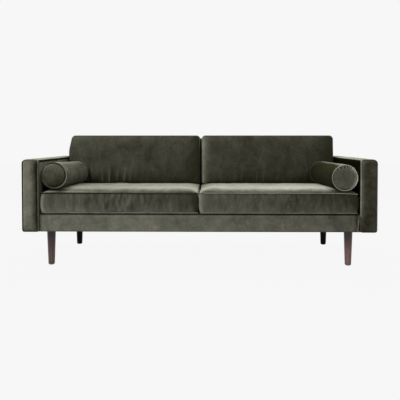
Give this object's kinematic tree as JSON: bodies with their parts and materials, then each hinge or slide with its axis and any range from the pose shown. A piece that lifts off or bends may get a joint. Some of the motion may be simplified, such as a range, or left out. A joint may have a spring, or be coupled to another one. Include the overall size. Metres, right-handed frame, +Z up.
{
  "type": "tuxedo sofa",
  "caption": "Velvet sofa with box arms level with its back, loose seat and back cushions, round bolsters and turned wooden legs.",
  "frame": {"origin": "on the floor, under the middle of the sofa", "axes": "+X to the right of someone facing the sofa, +Y towards its back, +Z up"},
  "size_m": [2.1, 0.85, 0.7904],
  "materials": {
    "velvet": "olive green velvet",
    "velvet_piping": "olive green velvet over cord",
    "leg_wood": "dark walnut stain, satin",
    "timber": "sawn softwood",
    "hardboard": "smooth hardboard",
    "foam": "upholstery foam",
    "webbing": "woven elastic",
    "lining": "black lining cloth",
    "steel": "drawn wire, zinc",
    "glide": "black nylon",
    "zip_tape": "woven tape",
    "zip_metal": "antique brass"
  },
  "bodies": {
    "frame": {"front_rail": "timber", "back_rail": "timber", "side_rails": "timber", "centre_bearer": "timber", "corner_blocks": "timber", "arm_posts": "timber", "arm_rails": "timber", "arm_panels": "hardboard", "back_uprights": "timber", "back_top_rail": "timber", "back_stretchers": "timber", "back_webbing": "webbing", "seat_springs": "steel", "spring_clips": "steel", "deck_pad": "foam", "deck_cover": "lining", "arm_padding": "foam", "back_padding": "foam", "rail_padding": "foam", "arm_cover_left": "velvet", "arm_cover_right": "velvet", "back_cover": "velvet", "rail_cover": "velvet", "arm_piping_left": "velvet_piping", "arm_piping_right": "velvet_piping", "dust_cover": "lining", "leg_front_left": "leg_wood", "leg_front_right": "leg_wood", "leg_rear_left": "leg_wood", "leg_rear_right": "leg_wood", "leg_bolts": "steel", "leg_inserts": "steel", "foot_glides": "glide", "arm_bolts": "steel"},
    "seat_cushion_left": {"seat_cushion_cover_left": "velvet", "seat_cushion_foam_left": "foam", "seat_cushion_piping_left": "velvet_piping", "seat_cushion_zip_left": "zip_tape"},
    "back_cushion_left": {"back_cushion_cover_left": "velvet", "back_cushion_filling_left": "foam", "back_cushion_piping_left": "velvet_piping", "back_cushion_zip_left": "zip_tape"},
    "bolster_left": {"bolster_cover_left": "velvet", "bolster_filling_left": "foam", "bolster_piping_left": "velvet_piping"},
    "seat_slider_left": {"seat_cushion_slider_left": "zip_metal"},
    "back_slider_left": {"back_cushion_slider_left": "zip_metal"},
    "seat_cushion_right": {"seat_cushion_cover_right": "velvet", "seat_cushion_foam_right": "foam", "seat_cushion_piping_right": "velvet_piping", "seat_cushion_zip_right": "zip_tape"},
    "back_cushion_right": {"back_cushion_cover_right": "velvet", "back_cushion_filling_right": "foam", "back_cushion_piping_right": "velvet_piping", "back_cushion_zip_right": "zip_tape"},
    "bolster_right": {"bolster_cover_right": "velvet", "bolster_filling_right": "foam", "bolster_piping_right": "velvet_piping"},
    "seat_slider_right": {"seat_cushion_slider_right": "zip_metal"},
    "back_slider_right": {"back_cushion_slider_right": "zip_metal"}
  },
  "joints": [
    {"name": "seat_cushion_left_pull", "type": "slide", "parent": "frame", "child": "seat_cushion_left", "axis": [0, -1, 0], "range_m": [0, 0.69]},
    {"name": "back_cushion_left_lift", "type": "slide", "parent": "frame", "child": "back_cushion_left", "axis": [0, 0.1702, 0.9854], "range_m": [0, 0.35]},
    {"name": "bolster_left_lift", "type": "slide", "parent": "seat_cushion_left", "child": "bolster_left", "axis": [0, 0, 1], "range_m": [0, 0.25]},
    {"name": "seat_zip_left", "type": "slide", "parent": "seat_cushion_left", "child": "seat_slider_left", "axis": [-1, 0, 0], "range_m": [0, 0.56]},
    {"name": "back_zip_left", "type": "slide", "parent": "back_cushion_left", "child": "back_slider_left", "axis": [-1, 0, 0], "range_m": [0, 0.56]},
    {"name": "seat_cushion_right_pull", "type": "slide", "parent": "frame", "child": "seat_cushion_right", "axis": [0, -1, 0], "range_m": [0, 0.69]},
    {"name": "back_cushion_right_lift", "type": "slide", "parent": "frame", "child": "back_cushion_right", "axis": [0, 0.1702, 0.9854], "range_m": [0, 0.35]},
    {"name": "bolster_right_lift", "type": "slide", "parent": "seat_cushion_right", "child": "bolster_right", "axis": [0, 0, 1], "range_m": [0, 0.25]},
    {"name": "seat_zip_right", "type": "slide", "parent": "seat_cushion_right", "child": "seat_slider_right", "axis": [-1, 0, 0], "range_m": [0, 0.56]},
    {"name": "back_zip_right", "type": "slide", "parent": "back_cushion_right", "child": "back_slider_right", "axis": [-1, 0, 0], "range_m": [0, 0.56]}
  ]
}
